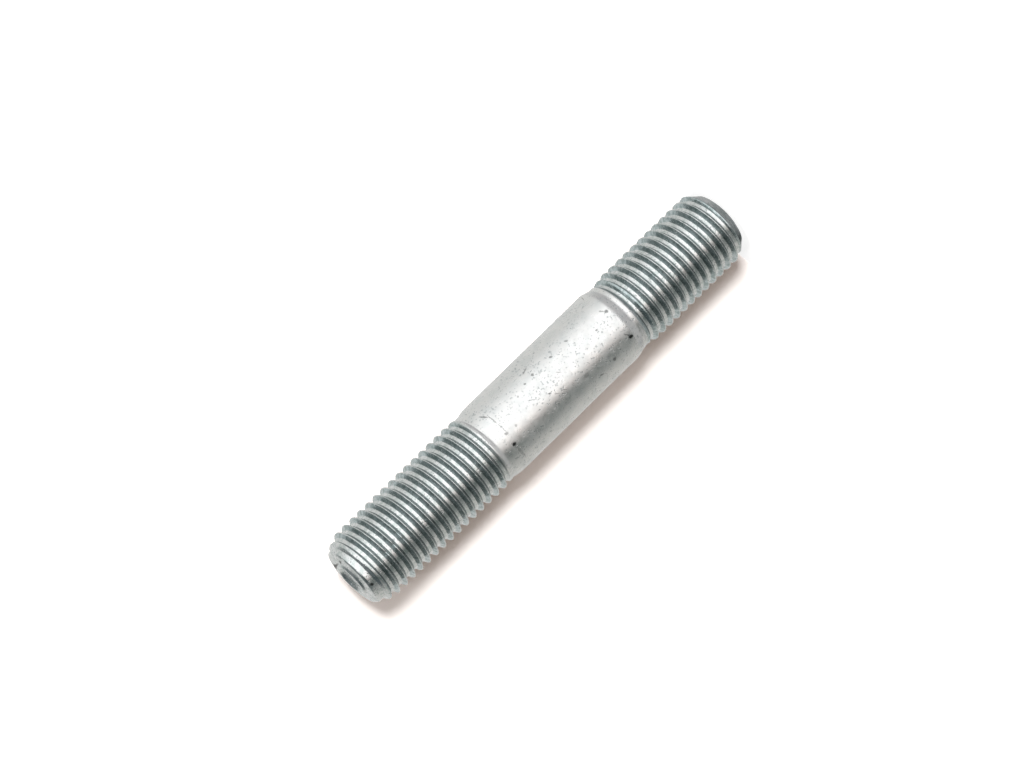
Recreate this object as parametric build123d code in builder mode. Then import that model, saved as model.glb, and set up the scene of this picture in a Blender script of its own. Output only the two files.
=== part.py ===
"""Double-ended stud, M16 x 2 right-hand thread at both ends, 100 mm overall, one solid.

It stands on its plain end at z = 0 with its axis along +Z. From the bottom up it has a chamfered thread that
runs out into a turned neck, a plain shank, a short cone, and a longer thread whose end is cupped.
All sizes are in millimetres.
"""
import os
from math import atan, ceil, degrees

from build123d import *

# Threads, both ends alike: one V groove cut round a blank turned to the crest diameter
pitch = 2.0
crest_diameter = 15.85
crest_flat = 0.5
thread_depth = 0.9
runout_turns = 1.25       # the groove climbs out of the metal over this many turns
bottom_thread_turn = -4.0     # degrees round the bar from +X to where each run-out begins
top_thread_turn = 160.0

# Ends: a chamfer down to a low crown with a plain face at the bottom, to a low lip round a cup at the top
end_face_diameter = 12.2
chamfer_length = 2.75
bottom_chamfer_length = 2.25
bottom_crown_height = 0.65
bottom_face_diameter = 9.0
crown_height = 0.65       # the lip stands this far above the chamfer's edge
lip_diameter = 6.4
cup_diameter = 5.2
lip_bevel = 0.3
cup_depth = 0.5           # below the edge of the cup

# Lengths along the axis, from the bottom up
bottom_thread_length = 25.4    # with its chamfer, to where the crests start to fall away
bottom_runout_length = 2.8
neck_length = 0.9
bottom_shoulder_length = 1.6
shank_length = 31.7
top_shoulder_length = 2.3
top_runout_length = 2.9
top_thread_length = 31.75      # with its chamfer

# Diameters between the threads
neck_diameter = 14.6
shank_diameter = 15.75
top_shoulder_diameter = 14.9

# Heights and radii that follow from the sizes above
neck_start = bottom_thread_length + bottom_runout_length
shank_start = neck_start + neck_length + bottom_shoulder_length
shank_end = shank_start + shank_length
top_runout_start = shank_end + top_shoulder_length
top_thread_start = top_runout_start + top_runout_length
rim = top_thread_start + top_thread_length
top = rim + crown_height
crest_radius = crest_diameter / 2
root_radius = crest_radius - thread_depth
flank_slope = (pitch - crest_flat) / 2 / thread_depth


def blank_profile():
    """Half section of the turned blank, from the centre of the bottom face round to the middle of the cup."""
    Polyline(
        (0, 0),
        (bottom_face_diameter / 2, 0),
        (end_face_diameter / 2, bottom_crown_height),
        (crest_radius, bottom_crown_height + bottom_chamfer_length),
        (crest_radius, bottom_thread_length),
        (neck_diameter / 2, neck_start),
        (neck_diameter / 2, neck_start + neck_length),
        (shank_diameter / 2, shank_start),
        (shank_diameter / 2, shank_end),
        (top_shoulder_diameter / 2, top_runout_start),
        (crest_radius, top_thread_start),
        (crest_radius, rim - chamfer_length),
        (end_face_diameter / 2, rim),
        (lip_diameter / 2, top),
        (cup_diameter / 2, top - lip_bevel),
        (0, top - lip_bevel - cup_depth),
        close=True,
    )


def cutter(path):
    """Cutter for the thread: its V swept along a path, square to the path and opening away from the axis."""
    start = path @ 0
    outward = Vector(start.X, start.Y, 0).normalized()
    reach = thread_depth + 0.15
    with BuildSketch(Plane(origin=start, x_dir=outward, z_dir=path % 0)) as section:
        with BuildLine():
            Polyline((0, 0), (reach, -reach * flank_slope), (reach, reach * flank_slope), close=True)
        make_face()
    return sweep(section.sketch, path=path, mode=Mode.PRIVATE, is_frenet=True)


# Each thread as: its length from the end face to where its run-out begins, where that is and which way it
# lies, and the radius of the metal it runs out into
threads = (
    (bottom_thread_length, Location((0, 0, bottom_thread_length), (0, 0, bottom_thread_turn)),
     neck_diameter / 2),
    (top - top_thread_start, Location((0, 0, top_thread_start), (180, 0, -top_thread_turn)),
     top_shoulder_diameter / 2),
)

with BuildPart() as stud:
    with BuildSketch(Plane.XZ):
        with BuildLine():
            blank_profile()
        make_face()
    revolve(axis=Axis.Z)
    for length, place, runout_radius in threads:
        turns = ceil(length / pitch + 0.25)
        one_turn = Edge.make_helix(pitch, pitch, root_radius)
        full = Wire([one_turn.moved(place * Location((0, 0, -(n + 1) * pitch))) for n in range(turns)])
        climb = runout_radius + 0.1 * pitch - root_radius
        angle = degrees(atan(climb / (runout_turns * pitch)))
        runout = Edge.make_helix(pitch, runout_turns * pitch, root_radius, angle=angle).moved(place)
        add(cutter(full), mode=Mode.SUBTRACT)
        add(cutter(Wire([runout])), mode=Mode.SUBTRACT)

stud.part.label = "stud"
os.makedirs("parts", exist_ok=True)
export_step(stud.part, "parts/stud.step")
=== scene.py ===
import math

import bmesh
import bpy
import numpy as np
from mathutils import Matrix, Quaternion, Vector


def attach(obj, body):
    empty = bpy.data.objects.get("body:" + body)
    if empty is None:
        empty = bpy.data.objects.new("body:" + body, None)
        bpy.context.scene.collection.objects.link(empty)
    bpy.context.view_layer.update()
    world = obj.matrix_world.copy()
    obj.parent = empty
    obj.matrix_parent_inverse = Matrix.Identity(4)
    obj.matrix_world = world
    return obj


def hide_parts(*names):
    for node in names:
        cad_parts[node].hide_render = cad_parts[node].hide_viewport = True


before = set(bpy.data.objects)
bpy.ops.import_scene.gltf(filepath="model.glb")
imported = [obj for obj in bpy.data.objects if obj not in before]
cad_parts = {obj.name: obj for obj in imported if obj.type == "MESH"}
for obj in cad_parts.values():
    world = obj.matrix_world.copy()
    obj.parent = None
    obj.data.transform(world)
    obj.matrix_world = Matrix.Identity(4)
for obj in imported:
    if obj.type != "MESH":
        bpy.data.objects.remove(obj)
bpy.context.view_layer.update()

# ---------------------------------------------------------------- stud
# One bar of mild steel, turned to its neck, cone and chamfers, rolled with a right-hand M16 x 2 thread at
# each end, and bright zinc plated. It stands on its plain end, with the longer thread and the cupped end
# on top.

# lengths are in millimetres, and azimuths in degrees from -Y towards +X
PITCH = 2.0
CREST_R = 7.925
ROOT_R = 6.92
ROOT_HALF = 0.36                          # half the width of the groove's bottom
FLANK = math.tan(math.radians(30))        # each flank leans by half of the V's 60 degrees
BOTTOM_PHASE = 1.42                       # height of each groove's middle at zero angle
TOP_PHASE = 0.71
LAST_TURN = 97.4                          # from here up the groove's outer flank is rolled down
WEAR = 0.10                               # most that the crests are rubbed down
COLUMNS = 128

# heights that part the bar: the end faces' edges, both ends of the plain length, and its middle
FOOT_EDGE, NECK, CONE, CUP_EDGE = 0.65, 29.0, 63.6, 99.35
MID_SHANK = 45

# turned blank, height and radius, from the edge of the standing end to the edge of the cupped end
BLANK = np.array([
    (0.65, 6.10), (2.9, 7.925), (25.3, 7.925), (26.5, 7.66), (27.3, 7.42), (27.65, 7.27), (27.9, 7.28),
    (28.15, 7.42), (28.9, 7.43), (29.15, 7.36), (29.5, 7.52), (30.85, 7.90), (32.0, 7.92), (34.5, 7.875),
    (60.0, 7.86), (62.2, 7.85), (63.2, 7.74), (64.5, 7.46), (65.0, 7.58), (65.7, 7.72), (67.2, 7.925),
    (95.2, 7.925), (96.35, 7.76), (97.2, 7.45), (98.0, 7.10), (98.95, 6.50), (99.15, 6.33), (99.35, 6.10),
])
# radius at the bottom of the groove, which climbs out beside the shank and dips under the top chamfer
ROOTS = np.array([
    (0.0, ROOT_R), (25.5, ROOT_R), (27.3, 6.97), (28.4, 7.1), (29.0, 7.8), (45.0, 8.2), (64.4, 7.7),
    (66.2, 6.95), (67.2, ROOT_R), (97.0, ROOT_R), (98.8, 6.35), (99.4, 6.1),
])
# standing end, radius and height, from its edge in to the middle
FOOT = np.array([
    (5.95, 0.57), (5.55, 0.38), (5.1, 0.18), (4.75, 0.05), (4.45, 0.0), (3.4, 0.0), (2.3, 0.0), (1.2, 0.0),
    (0.3, 0.0),
])
# cupped end, radius and height, from its edge over the lip to the middle of the cup
CROWN = np.array([
    (5.85, 99.47), (5.55, 99.53), (5.2, 99.56), (4.8, 99.57), (4.4, 99.58), (4.1, 99.60), (3.9, 99.63),
    (3.75, 99.70), (3.56, 99.84), (3.42, 99.93), (3.28, 99.98), (3.12, 99.995), (2.98, 99.98),
    (2.86, 99.89), (2.70, 99.73), (2.55, 99.57), (2.38, 99.49), (2.05, 99.45), (1.6, 99.43), (1.1, 99.42),
    (0.7, 99.415), (0.3, 99.41),
])
# the lip is pressed slightly off the middle, and a nick crosses the crown beside it
LIP_R, LIP_LEAN, LIP_AZIMUTH = 3.1, 0.30, 215
NICK_FROM_AXIS, NICK_DEPTH, NICK_HALF, NICK_AZIMUTH = 3.55, 0.16, 0.3, 44
# knocks on the crests: height, azimuth, half width along the bar, half width round it, depth
DENTS = [
    (93.50, 38.0, 0.40, 0.40, 0.30),
    (91.50, 38.0, 0.40, 0.40, 0.32),
    (89.50, 45.0, 0.35, 0.60, 0.28),
    (89.45, 34.0, 0.35, 0.40, 0.26),
    (20.35, 54.0, 0.45, 0.45, 0.34),
]

turn = np.arange(COLUMNS) / COLUMNS
angle = 2 * math.pi * turn


def smooth_min(a, b, k):
    """The smaller of two radii, blended where they lie within k of each other."""
    h = np.clip(0.5 + 0.5 * (b - a) / k, 0, 1)
    return b + (a - b) * h - k * h * (1 - h)


def blank_radius(z):
    """Radius of the turned blank, its corners softened over a few tenths of a millimetre."""
    near = [np.interp(z + step, BLANK[:, 0], BLANK[:, 1]) for step in (-0.24, -0.12, 0.0, 0.12, 0.24)]
    return np.mean(near, axis=0)


def groove_radius(z, turns, phase):
    """Radius left by a rolled V that winds round the bar: phase is its height at zero angle."""
    root = np.interp(z, ROOTS[:, 0], ROOTS[:, 1])
    off = (z - phase) / PITCH - turns
    off = (off - np.round(off)) * PITCH
    outer = np.where((off > 0) & (z > 90), np.clip((z - LAST_TURN) / 0.6, 0, 1), 0)
    flank = root + (np.abs(off) - ROOT_HALF) / FLANK / (1 + 2 * outer)
    return -smooth_min(-root, -flank, 0.16)


def bar_radius(z, turns):
    """Radius of the finished bar at these heights and turns, both arrays of one shape."""
    radius = blank_radius(z)
    groove = np.where(z < MID_SHANK, groove_radius(z, turns, BOTTOM_PHASE), groove_radius(z, turns, TOP_PHASE))
    radius = np.where((z < NECK) | (z > CONE), smooth_min(groove, radius, 0.05), radius)
    for height, azimuth, long_half, wide_half, depth in DENTS:
        round_by = (turns * 360 - (azimuth - 90) + 180) % 360 - 180
        across = np.radians(round_by) * CREST_R / wide_half
        radius = radius - depth * np.exp(-((z - height) / long_half) ** 2 - across ** 2)
    # the crests are rubbed down in patches, from two waves that cross as they wind round the bar
    worn = np.sin(turns * 2 * math.pi * 23 + z * 2.3) * np.sin(turns * 2 * math.pi * 14 - z * 1.9 + 1)
    radius = radius - WEAR * np.clip(worn - 0.2, 0, 1) * ((radius > 7.7) & ((z < 27) | (z > 65)))
    return np.minimum(radius, CREST_R)


def threaded_length(low, high, middle):
    """Grid of heights whose rows follow the helix, cut square at both ends, and how many rows make a pitch."""
    # rows from the groove's middle to the crest's, in half pitches, closer at the root's and crest's corners
    off = [0, 0.24, 0.33, 0.42, 0.66, 0.86, 0.91, 0.95, 1.0]
    steps = sorted({round(side * x / 2, 4) % 1 for x in off for side in (1, -1)})
    first, last = math.floor((low - middle) / PITCH) - 1, math.ceil((high - middle) / PITCH) + 1
    rows = np.array([middle + (n + step) * PITCH for n in range(first, last + 1) for step in steps])
    return np.clip(rows[:, None] + turn[None, :] * PITCH, low, high), len(steps)


def plain_length(low, high, spacing):
    """Grid of heights in level rows."""
    rows = np.linspace(low, high, math.ceil((high - low) / spacing) + 1)
    return np.repeat(rows[:, None], COLUMNS, axis=1), 0


stud_points, stud_faces = [], []


def add_grid(points, shift):
    """Faces of a grid that closes on itself round the bar; a row meets the one shift rows on after a turn."""
    base, rows = len(stud_points), len(points)
    stud_points.extend(points.reshape(-1, 3).tolist())
    for row in range(rows - 1):
        for column in range(COLUMNS):
            if column < COLUMNS - 1:
                after, over = column + 1, row
            else:
                after, over = 0, row + shift
            if over + 1 < rows:
                stud_faces.append((base + row * COLUMNS + column, base + over * COLUMNS + after,
                                   base + (over + 1) * COLUMNS + after, base + (row + 1) * COLUMNS + column))


for heights, shift in (threaded_length(FOOT_EDGE, NECK, BOTTOM_PHASE), plain_length(NECK, CONE, 0.24),
                       threaded_length(CONE, CUP_EDGE, TOP_PHASE)):
    radius = bar_radius(heights, np.broadcast_to(turn, heights.shape))
    add_grid(np.stack([radius * np.cos(angle), radius * np.sin(angle), heights], axis=-1), shift)

# both end faces, ring by ring from the bar's edge
for profile, edge_height in ((FOOT, FOOT_EDGE), (CROWN, CUP_EDGE)):
    cupped = edge_height == CUP_EDGE
    rings, heights = [bar_radius(np.full(COLUMNS, edge_height), turn)], [np.full(COLUMNS, edge_height)]
    for ring, height in profile:
        lean = LIP_LEAN * max(0.0, 1 - abs(ring - LIP_R) / 2.4) if cupped else 0
        rings.append(ring + lean * np.cos(angle - math.radians(LIP_AZIMUTH)))
        cut = rings[-1] * np.cos(angle - math.radians(NICK_AZIMUTH)) - NICK_FROM_AXIS
        nicked = NICK_DEPTH * np.exp(-(cut / NICK_HALF) ** 2) * (ring > 2) if cupped else 0 * turn
        heights.append(height - nicked)
    rings, heights = np.array(rings), np.array(heights)
    add_grid(np.stack([rings * np.cos(angle), rings * np.sin(angle), heights], axis=-1), 0)

stud_mesh = bpy.data.meshes.new("stud_body")
stud_mesh.from_pydata([[c / 1000 for c in p] for p in stud_points], [], stud_faces)
bm = bmesh.new()
bm.from_mesh(stud_mesh)
bmesh.ops.remove_doubles(bm, verts=bm.verts, dist=2e-7)
bmesh.ops.dissolve_degenerate(bm, edges=bm.edges, dist=2e-7)
bmesh.ops.holes_fill(bm, edges=[e for e in bm.edges if e.is_boundary], sides=COLUMNS)
bmesh.ops.recalc_face_normals(bm, faces=bm.faces)
for face in bm.faces:
    face.smooth = True
bm.to_mesh(stud_mesh)
bm.free()

stud = bpy.data.objects.new("stud_body", stud_mesh)
bpy.context.scene.collection.objects.link(stud)
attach(stud, "root")
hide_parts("stud")

zinc = bpy.data.materials.new("zinc_plated_steel")
zinc.use_nodes = True
nodes, links = zinc.node_tree.nodes, zinc.node_tree.links
metal = nodes["Principled BSDF"]
metal.inputs["Metallic"].default_value = 1.0
place = nodes.new("ShaderNodeTexCoord")


def noise(scale, detail):
    """Noise over the stud, in metres."""
    made = nodes.new("ShaderNodeTexNoise")
    made.inputs["Scale"].default_value = scale
    made.inputs["Detail"].default_value = detail
    links.new(place.outputs["Object"], made.inputs["Vector"])
    return made.outputs["Fac"]


def between(value, low, high, out_low=0.0, out_high=1.0):
    """A value run from out_low to out_high as it goes from low to high, held at both ends."""
    tree = value.id_data
    run = tree.nodes.new("ShaderNodeMapRange")
    run.interpolation_type = "SMOOTHSTEP"
    for name, number in (("From Min", low), ("From Max", high), ("To Min", out_low), ("To Max", out_high)):
        run.inputs[name].default_value = number
    tree.links.new(value, run.inputs["Value"])
    return run.outputs["Result"]


def mixed(share, first, second):
    """Two colours, each a socket or a plain colour, mixed by a share."""
    tree = share.id_data
    mix = tree.nodes.new("ShaderNodeMix")
    mix.data_type = "RGBA"
    tree.links.new(share, mix.inputs["Factor"])
    for socket, colour in ((mix.inputs[6], first), (mix.inputs[7], second)):
        if isinstance(colour, tuple):
            socket.default_value = colour
        else:
            tree.links.new(colour, socket)
    return mix.outputs[2]


def combined(operation, *masks):
    """Masks taken together, one after another."""
    made = masks[0]
    for mask in masks[1:]:
        more = nodes.new("ShaderNodeMath")
        more.operation = operation
        links.new(made, more.inputs[0])
        links.new(mask, more.inputs[1])
        made = more.outputs["Value"]
    return made


def changed_by(value, mask, amount):
    """A value with an amount added where the mask is full."""
    change = nodes.new("ShaderNodeMath")
    change.operation = "MULTIPLY_ADD"
    links.new(mask, change.inputs[0])
    change.inputs[1].default_value = amount
    links.new(value, change.inputs[2])
    return change.outputs["Value"]


def length_of(vector):
    long = nodes.new("ShaderNodeVectorMath")
    long.operation = "LENGTH"
    links.new(vector, long.inputs[0])
    return long.outputs["Value"]


flat = nodes.new("ShaderNodeVectorMath")
flat.operation = "MULTIPLY"
flat.inputs[1].default_value = (1, 1, 0)
links.new(place.outputs["Object"], flat.inputs[0])
from_axis = length_of(flat.outputs["Vector"])
position = nodes.new("ShaderNodeSeparateXYZ")
links.new(place.outputs["Object"], position.inputs[0])
facing = nodes.new("ShaderNodeSeparateXYZ")
links.new(place.outputs["Normal"], facing.inputs[0])


def by_height(start, full):
    """Mask that starts at one height in millimetres and is full at the other."""
    return between(position.outputs["Z"], start / 1000, full / 1000)


def by_radius(start, full):
    """Mask that starts at one distance from the axis in millimetres and is full at the other."""
    return between(from_axis, start / 1000, full / 1000)


# plating: bright and even on the plain length, and darker in patches on the rolled threads. On the threads the
# darker colour is partly painted shade of the grooves, and painted shade darkens it most on their flanks,
# between the roots and the crests
SHANK_BRIGHT, SHANK_SOFT = (0.76, 0.765, 0.755, 1), (0.70, 0.72, 0.715, 1)
# thread colours, both below the shank's; the darker one is partly painted shade of the grooves
THREAD_BRIGHT, THREAD_PATCH_AND_SHADE = (0.71, 0.73, 0.73, 1), (0.55, 0.60, 0.59, 1)
# painted shade of the thread flanks, in a lighter and a darker patch colour
FLANK_SHADE_LIGHT, FLANK_SHADE_DARK = (0.50, 0.57, 0.58, 1), (0.32, 0.39, 0.39, 1)
bright = mixed(between(noise(520, 4), 0.35, 0.7), SHANK_BRIGHT, SHANK_SOFT)
threaded = combined("MAXIMUM", by_height(28.4, 27.9), by_height(65.6, 66.4))
# mask for the flanks' painted shade: by distance from the axis, on the threaded lengths only
flank_shade = combined("MULTIPLY", by_radius(6.97, 7.12), by_radius(7.86, 7.72), threaded,
                  by_height(97.5, 96.8), by_height(1.8, 2.6))
patch_share = between(noise(1100, 4), 0.40, 0.62)
# the threads' colour: darker than the shank in random patches, partly as painted shade of the grooves
threads_patchy_and_shaded = mixed(threaded, bright, mixed(patch_share, THREAD_BRIGHT, THREAD_PATCH_AND_SHADE))
colour_with_painted_shade = mixed(flank_shade, threads_patchy_and_shaded, mixed(patch_share, FLANK_SHADE_LIGHT, FLANK_SHADE_DARK))
# painted shade: the underside of each thread, where the surface faces down, is darkened
UNDERSIDE_SHADE = (0.28, 0.31, 0.31, 1)
underside_shade = combined("MULTIPLY", between(facing.outputs["Z"], -0.10, -0.50), threaded, by_height(2.0, 3.2))
# painted shade laid over the threads' undersides
colour_with_painted_shade = mixed(underside_shade, colour_with_painted_shade, UNDERSIDE_SHADE)
# marks on the shank, and one on the top chamfer: height and azimuth of the middle, half length and half
# width, lean of the length from the bar's axis in degrees, and how dark it is
MARKS = [
    (62.5, 78, 0.9, 0.25, 60, 0.6), (61.8, 66, 1.3, 0.16, 90, 0.5), (61.7, 49, 1.4, 0.14, 88, 0.4),
    (61.9, 39, 0.5, 0.3, 20, 0.5), (59.5, 38, 0.35, 0.3, 0, 0.4), (62.0, 21, 0.5, 0.42, 0, 1.0),
    (50.6, 85, 0.9, 0.2, -23, 0.5), (50.3, 72, 0.4, 0.36, 0, 0.6), (52.6, 70, 0.25, 0.22, 0, 0.6),
    (45.4, 72, 0.45, 0.25, 30, 0.6), (41.1, 73, 0.5, 0.25, 40, 0.5), (55.3, 64, 0.28, 0.25, 0, 0.4),
    (53.9, 47, 1.1, 0.09, 36, 0.5), (50.7, 37, 0.45, 0.16, 36, 0.6), (49.6, 30, 0.6, 0.12, 39, 0.5),
    (48.1, 27, 0.7, 0.12, 39, 0.5), (46.6, 49, 0.6, 0.13, 45, 0.5), (31.7, 63, 0.45, 0.4, 0, 0.7),
    (32.3, 68, 0.6, 0.2, 50, 0.5), (35.7, 54, 0.3, 0.25, 0, 0.6), (31.4, 14, 0.6, 0.42, 20, 1.0),
    (31.9, 20, 0.8, 0.13, 54, 0.7), (36.5, 6, 0.5, 0.4, 0, 0.6), (40.3, 2, 0.65, 0.2, 22, 0.55),
    (43.0, 19, 0.9, 0.5, 0, 0.3), (61.7, 3, 2.2, 0.3, 79, 0.25), (31.9, 110, 1.2, 0.12, -73, 0.4),
    (98.9, 14, 0.4, 0.3, 30, 1.0),
]
# marks on the cupped end: X and Y, half length and half width, direction in degrees, and how dark it is
END_MARKS = [
    (0.1, 5.0, 1.9, 0.55, -46, 1.0), (1.7, 3.3, 2.0, 0.3, -46, 0.85), (4.0, 0.95, 0.8, 0.4, -46, 0.95),
]
END_HEIGHT = 99.5
MARK_DEPTH = 0.6                          # a mark reaches this far in and out from the surface
WAVER = 0.4                               # and its outline wavers by up to this, about half of it each way
spots = []
for mark_height, azimuth, long_half, wide_half, lean, dark in MARKS:
    a, tilt = math.radians(azimuth), math.radians(lean)
    outward, round_it = Vector((math.sin(a), -math.cos(a), 0)), Vector((math.cos(a), math.sin(a), 0))
    along = Vector((0, 0, math.cos(tilt))) + round_it * math.sin(tilt)
    middle = outward * float(blank_radius(mark_height)) + Vector((0, 0, mark_height))
    spots.append((middle, along, outward, long_half, wide_half, dark))
for x, y, long_half, wide_half, way_round, dark in END_MARKS:
    a = math.radians(way_round)
    along = Vector((math.cos(a), math.sin(a), 0))
    spots.append((Vector((x, y, END_HEIGHT)), along, Vector((0, 0, 1)), long_half, wide_half, dark))
waver = nodes.new("ShaderNodeTexNoise")
waver.inputs["Scale"].default_value = 2600
links.new(place.outputs["Object"], waver.inputs["Vector"])
wavering = nodes.new("ShaderNodeVectorMath")
wavering.operation = "MULTIPLY_ADD"
wavering.inputs[1].default_value = (WAVER / 1000, WAVER / 1000, WAVER / 1000)
links.new(waver.outputs["Color"], wavering.inputs[0])
links.new(place.outputs["Object"], wavering.inputs[2])
marks = []
for middle, along, outward, long_half, wide_half, dark in spots:
    spot = nodes.new("ShaderNodeMapping")
    spot.vector_type = "TEXTURE"
    spot.inputs["Location"].default_value = (middle + Vector((WAVER, WAVER, WAVER)) / 2) / 1000
    axes = Matrix((along, outward.cross(along), outward)).transposed()
    spot.inputs["Rotation"].default_value = axes.to_euler()
    spot.inputs["Scale"].default_value = (long_half / 1000, wide_half / 1000, MARK_DEPTH / 1000)
    links.new(wavering.outputs["Vector"], spot.inputs["Vector"])
    marks.append(between(length_of(spot.outputs["Vector"]), 1.15, 0.5, 0, dark))
marked = combined("MAXIMUM", *marks)
# pits in the plating, a few tenths of a millimetre across and thicker in patches
PIT_GREY, MARK_DARK = (0.49, 0.52, 0.52, 1), (0.05, 0.055, 0.055, 1)
pits = combined("MULTIPLY", between(noise(2400, 1.5), 0.585, 0.70), between(noise(230, 2), 0.30, 0.52))
pitted = mixed(pits, colour_with_painted_shade, PIT_GREY)
links.new(mixed(marked, pitted, MARK_DARK), metal.inputs["Base Color"])
# satin on the shank, smoother where the dies have rolled the threads
ROLLED_SMOOTHER, PIT_RELIEF = -0.11, -1.6
satin = between(noise(700, 3), 0.3, 0.75, 0.26, 0.40)
links.new(changed_by(satin, threaded, ROLLED_SMOOTHER), metal.inputs["Roughness"])
grain = nodes.new("ShaderNodeBump")
grain.inputs["Strength"].default_value = 0.5
grain.inputs["Distance"].default_value = 0.00003
links.new(changed_by(noise(1500, 4), pits, PIT_RELIEF), grain.inputs["Height"])
links.new(grain.outputs["Normal"], metal.inputs["Normal"])
stud.data.materials.append(zinc)

# ---------------------------------------------------------------- floor and backdrop
# A white floor under the stud, and a white sheet close behind it, which takes the soft shadow. Both show
# only to the camera, so the light reaches the stud from all round.

WHITE = (0.95, 0.93, 0.92)
SHEET_HALF = 3                            # half the width of each sheet, in metres
SHEET_AZIMUTH = 62                        # the backdrop faces this way
CLOSE = 0.00795                           # and stands just clear of the crests


def white_sheet(name, corners, paint_share, lift, glow):
    """A flat sheet that the camera sees as white where no shadow falls on it, and not at all from behind."""
    mesh = bpy.data.meshes.new(name)
    mesh.from_pydata([tuple(c) for c in corners], [], [(0, 1, 2, 3)])
    sheet = bpy.data.objects.new(name, mesh)
    bpy.context.scene.collection.objects.link(sheet)
    for ray in ("visible_diffuse", "visible_glossy", "visible_transmission", "visible_shadow"):
        setattr(sheet, ray, False)
    material = bpy.data.materials.new(name)
    material.use_nodes = True
    nodes, links = material.node_tree.nodes, material.node_tree.links
    paint = nodes["Principled BSDF"]
    paint.inputs["Base Color"].default_value = [c * paint_share for c in WHITE] + [1]
    paint.inputs["Roughness"].default_value = 1
    paint.inputs["Specular IOR Level"].default_value = 0
    paint.inputs["Emission Color"].default_value = glow
    paint.inputs["Emission Strength"].default_value = lift
    clear = nodes.new("ShaderNodeBsdfTransparent")
    side = nodes.new("ShaderNodeNewGeometry")
    either = nodes.new("ShaderNodeMixShader")
    links.new(side.outputs["Backfacing"], either.inputs["Fac"])
    links.new(paint.outputs["BSDF"], either.inputs[1])
    links.new(clear.outputs["BSDF"], either.inputs[2])
    links.new(either.outputs["Shader"], nodes["Material Output"].inputs["Surface"])
    mesh.materials.append(material)


square = ((-1, -1), (1, -1), (1, 1), (-1, 1))
white_sheet("floor", [(x * SHEET_HALF, y * SHEET_HALF, 0) for x, y in square], 0.5, 0.80, (1, 1, 1, 1))
sheet_way = Vector((math.sin(math.radians(SHEET_AZIMUTH)), -math.cos(math.radians(SHEET_AZIMUTH)), 0))
wide, tall = Vector((-sheet_way.y, sheet_way.x, 0)) * SHEET_HALF, Vector((0, 0, SHEET_HALF))
white_sheet("backdrop", [-sheet_way * CLOSE + wide * x + tall * y for x, y in square], 1.0, 0.125,
            (1, 0.62, 0.42, 1))

# ---------------------------------------------------------------- light
# One wide soft box in front of the stud, a little to its right, in a grey room with a dark gap to the
# left of the stud and a dark ceiling. The camera itself sees plain white beyond the sheets.

room = bpy.data.worlds.new("room")
bpy.context.scene.world = room
room.use_nodes = True
nodes, links = room.node_tree.nodes, room.node_tree.links
seen = nodes["Background"]
seen.inputs["Color"].default_value = (1, 1, 1, 1)
seen.inputs["Strength"].default_value = 1
lit = nodes.new("ShaderNodeBackground")
way = nodes.new("ShaderNodeTexCoord")
around = nodes.new("ShaderNodeTexGradient")
around.gradient_type = "RADIAL"
links.new(way.outputs["Generated"], around.inputs["Vector"])
# what the stud sees level with it, by azimuth
LEVEL = [
    (-90, (0.68, 0.67, 0.64)), (-66, (0.62, 0.61, 0.58)), (-48, (0.46, 0.46, 0.44)),
    (-34, (0.29, 0.30, 0.29)), (-20, (0.175, 0.195, 0.185)), (-8, (0.175, 0.195, 0.185)),
    (2, (0.33, 0.31, 0.30)), (10, (0.74, 0.68, 0.65)), (18, (1.28, 1.20, 1.16)), (26, (1.50, 1.47, 1.45)),
    (40, (1.58, 1.56, 1.56)), (84, (1.50, 1.50, 1.50)), (102, (1.18, 1.18, 1.18)), (116, (0.98, 0.99, 0.98)),
    (130, (0.81, 0.81, 0.80)), (148, (0.77, 0.77, 0.75)), (197, (0.81, 0.81, 0.80)),
    (250, (0.74, 0.73, 0.71)), (269, (0.68, 0.67, 0.64)),
]
# what it sees higher up: the same soft box, narrower there, and a dark ceiling beside and behind it
HIGH = [
    (-90, (0.09, 0.11, 0.115)), (20, (0.09, 0.11, 0.115)), (44, (0.7, 0.7, 0.7)), (56, (1.5, 1.5, 1.5)),
    (110, (1.5, 1.5, 1.5)), (126, (0.6, 0.62, 0.62)), (140, (0.24, 0.26, 0.26)), (200, (0.24, 0.26, 0.26)),
    (245, (0.12, 0.14, 0.145)), (269, (0.09, 0.11, 0.115)),
]
# and lower down: a mid grey table nearly all round, with one dark gap behind the stud
LOW = [
    (-90, (0.30, 0.31, 0.31)), (-60, (0.52, 0.52, 0.52)), (0, (0.50, 0.50, 0.50)), (30, (0.50, 0.49, 0.50)),
    (110, (0.52, 0.51, 0.52)), (190, (0.50, 0.50, 0.50)), (218, (0.42, 0.43, 0.43)), (231, (0.03, 0.04, 0.04)),
    (250, (0.03, 0.04, 0.04)), (269, (0.28, 0.29, 0.29)),
]
OVERHEAD, UNDERFOOT = (0.20, 0.22, 0.23, 1), (0.32, 0.33, 0.33, 1)
FILL = 0.19                               # share of this light that rays from matt surfaces find


def by_azimuth(colours):
    """A colour that changes round the stud, from azimuth -90 on."""
    shade = nodes.new("ShaderNodeValToRGB")
    links.new(around.outputs["Fac"], shade.inputs["Fac"])
    stops = shade.color_ramp.elements
    while len(stops) < len(colours):
        stops.new(0.5)
    for stop, (azimuth, colour) in zip(stops, colours):
        stop.position = azimuth / 360 + 0.25
        stop.color = (*colour, 1)
    return shade.outputs["Color"]


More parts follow.
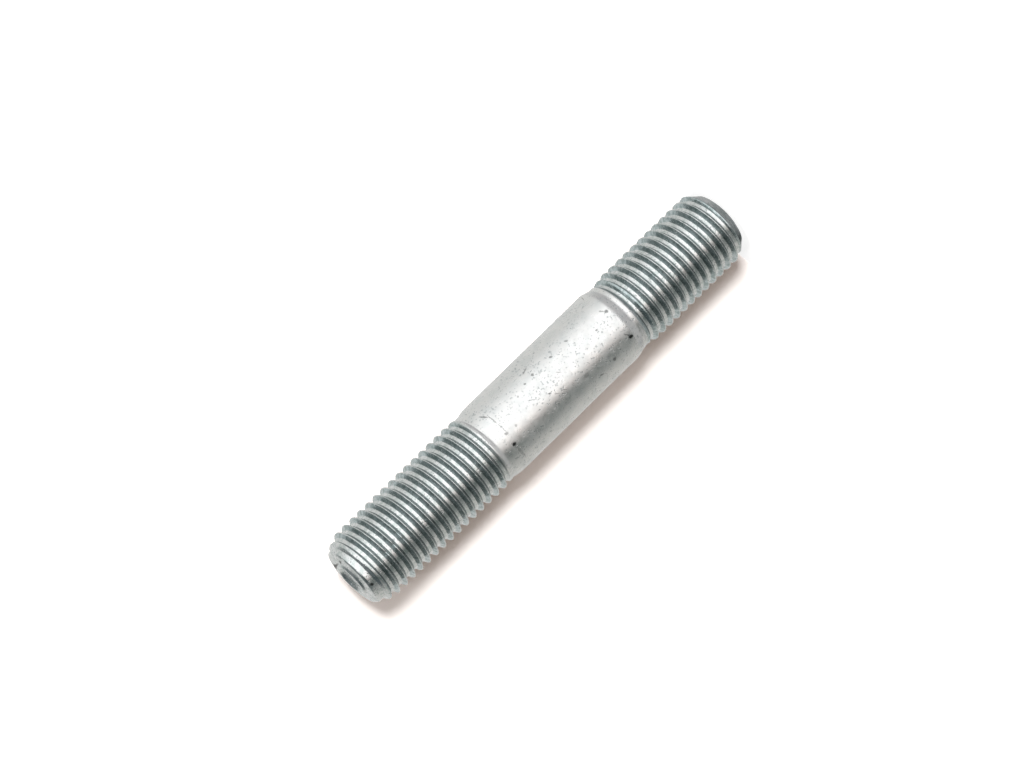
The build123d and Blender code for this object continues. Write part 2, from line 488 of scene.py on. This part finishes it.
split = nodes.new("ShaderNodeSeparateXYZ")
links.new(way.outputs["Generated"], split.inputs[0])
shaded = by_azimuth(LEVEL)
for start, full, colour in ((0.48, 0.78, by_azimuth(HIGH)), (0.90, 0.97, OVERHEAD),
                            (-0.40, -0.62, by_azimuth(LOW)), (-0.88, -0.96, UNDERFOOT)):
    shaded = mixed(between(split.outputs["Z"], start, full), shaded, colour)
links.new(shaded, lit.inputs["Color"])
path = nodes.new("ShaderNodeLightPath")
links.new(between(path.outputs["Is Diffuse Ray"], 0, 1, 1.0, FILL), lit.inputs["Strength"])
either = nodes.new("ShaderNodeMixShader")
links.new(path.outputs["Is Camera Ray"], either.inputs["Fac"])
links.new(lit.outputs["Background"], either.inputs[1])
links.new(seen.outputs["Background"], either.inputs[2])
links.new(either.outputs["Shader"], nodes["World Output"].inputs["Surface"])


def direction(azimuth, elevation):
    """Unit vector from the stud towards this azimuth and elevation, in degrees."""
    a, e = math.radians(azimuth), math.radians(elevation)
    return Vector((math.sin(a) * math.cos(e), -math.cos(a) * math.cos(e), math.sin(e)))


def far_lamp(name, azimuth, elevation, spread, strength):
    """A distant soft lamp that gives the floor and backdrop their light and the stud's shadow."""
    lamp = bpy.data.lights.new(name, "SUN")
    lamp.angle = math.radians(spread)
    lamp.energy = strength
    lamp.color = (1, 0.985, 0.975)
    rig = bpy.data.objects.new(name, lamp)
    rig.rotation_mode = "QUATERNION"
    rig.rotation_quaternion = (-direction(azimuth, elevation)).to_track_quat("-Z", "Y")
    rig.visible_glossy = False
    bpy.context.scene.collection.objects.link(rig)


far_lamp("side_lamp", 73.5, 0, 26.5, 3.5)
far_lamp("top_lamp", 62, 68, 22, 1.6)

# ---------------------------------------------------------------- camera
# A long lens in front of the stud and a little above it, rolled until the stud lies across the frame with
# its cupped end at the lower left. AIM is the point that it looks at, in metres.

AIM, DISTANCE = Vector((0.00309, 0.00393, 0.05207)), 0.645
ROLL = math.radians(-134.17)
eye = bpy.data.cameras.new("eye")
eye.sensor_width = 36
eye.lens = 122.4
eye.clip_start, eye.clip_end = 0.01, 20
camera = bpy.data.objects.new("eye", eye)
bpy.context.scene.collection.objects.link(camera)
back = direction(45, 16.5)
camera.location = AIM + back * DISTANCE
camera.rotation_mode = "QUATERNION"
camera.rotation_quaternion = (-back).to_track_quat("-Z", "Y") @ Quaternion((0, 0, 1), ROLL)
bpy.context.scene.camera = camera
bpy.context.scene.view_settings.view_transform = "Standard"
